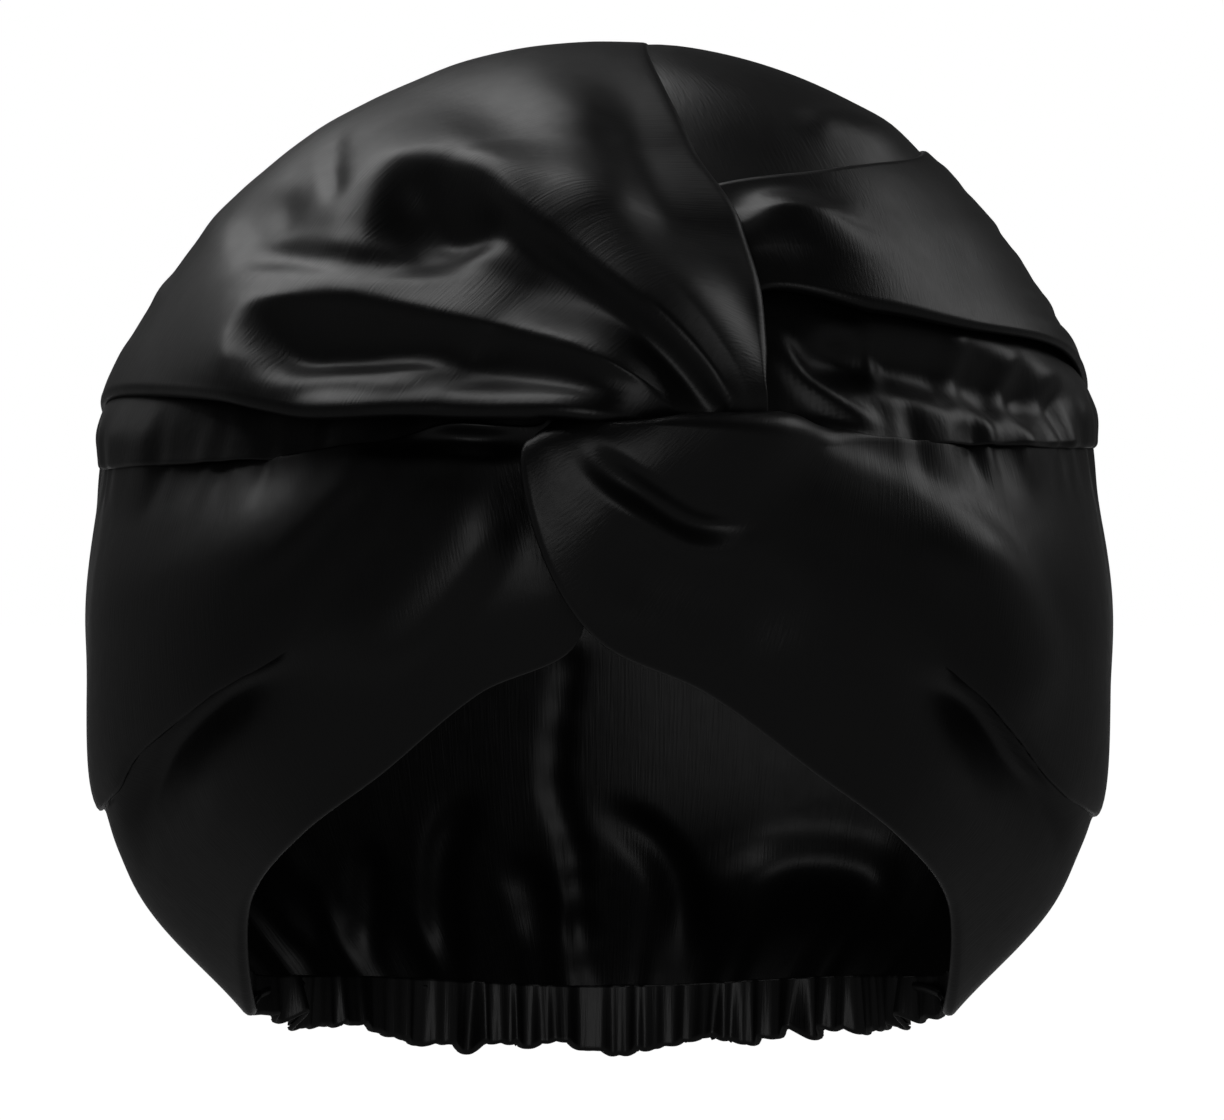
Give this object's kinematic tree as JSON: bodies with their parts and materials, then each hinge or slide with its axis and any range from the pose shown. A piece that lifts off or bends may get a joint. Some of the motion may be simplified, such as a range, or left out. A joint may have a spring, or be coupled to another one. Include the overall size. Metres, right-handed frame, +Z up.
{
  "type": "satin hair cap",
  "caption": "Full satin hair cap with a domed crown, a wrap hooked through a deep band in a twisted knot at the front, and a gathered elastic casing at the nape.",
  "frame": {"origin": "middle of the head hollow, level with the highest point of the forehead edge: where the wearer's head sits in it", "axes": "+Z up, -Y towards the front of the wearer, +X towards the wearer's left"},
  "size_m": [0.2321, 0.2526, 0.2314],
  "materials": {
    "crown_satin": "black satin weave, soft sheen",
    "wrap_satin": "black satin weave, soft sheen",
    "band_satin": "black satin weave, soft sheen",
    "casing_satin": "black satin gathered over elastic"
  },
  "bodies": {
    "root": {"crown": "crown_satin", "crown_wrap": "wrap_satin", "front_band": "band_satin", "nape_casing": "casing_satin"}
  },
  "joints": []
}
